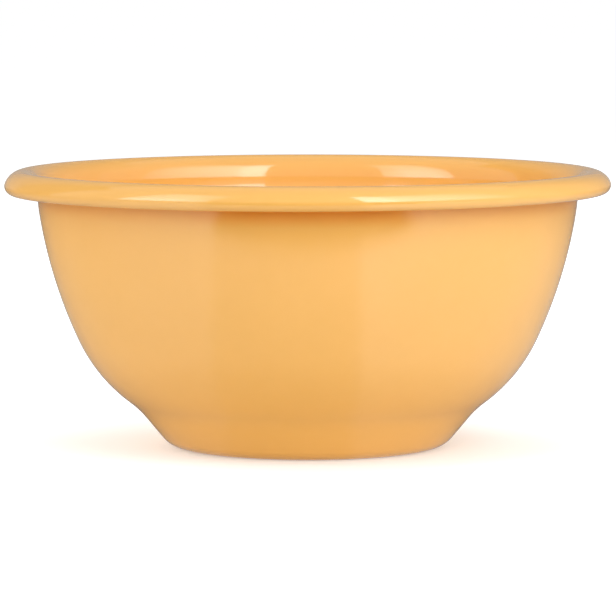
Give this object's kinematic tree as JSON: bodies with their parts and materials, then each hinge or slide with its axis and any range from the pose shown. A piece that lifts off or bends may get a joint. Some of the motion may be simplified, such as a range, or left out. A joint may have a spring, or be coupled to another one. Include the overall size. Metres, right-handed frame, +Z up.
{
  "type": "enamel cereal bowl",
  "caption": "Round footed cereal bowl of pressed steel with glossy yellow enamel inside and out, a rolled rim and a flat foot ring to stand on.",
  "frame": {"origin": "middle of the foot, in the plane of the surface that the bowl stands on", "axes": "+Z up along the bowl's axis of revolution, towards the rim; X and Y lie level and are alike"},
  "size_m": [0.152, 0.152, 0.0695],
  "materials": {
    "steel": "pickled low-carbon sheet steel, sealed under the enamel and not seen",
    "ground_enamel": "thin blue-black ground coat fused to the steel, not seen on a whole bowl",
    "yellow_enamel": "opaque warm yellow cover coat, glossy, with a faint orange peel"
  },
  "bodies": {
    "root": {"steel_shell": "steel", "ground_coat_outside": "ground_enamel", "ground_coat_inside": "ground_enamel", "cover_coat_outside": "yellow_enamel", "cover_coat_inside": "yellow_enamel"}
  },
  "joints": []
}
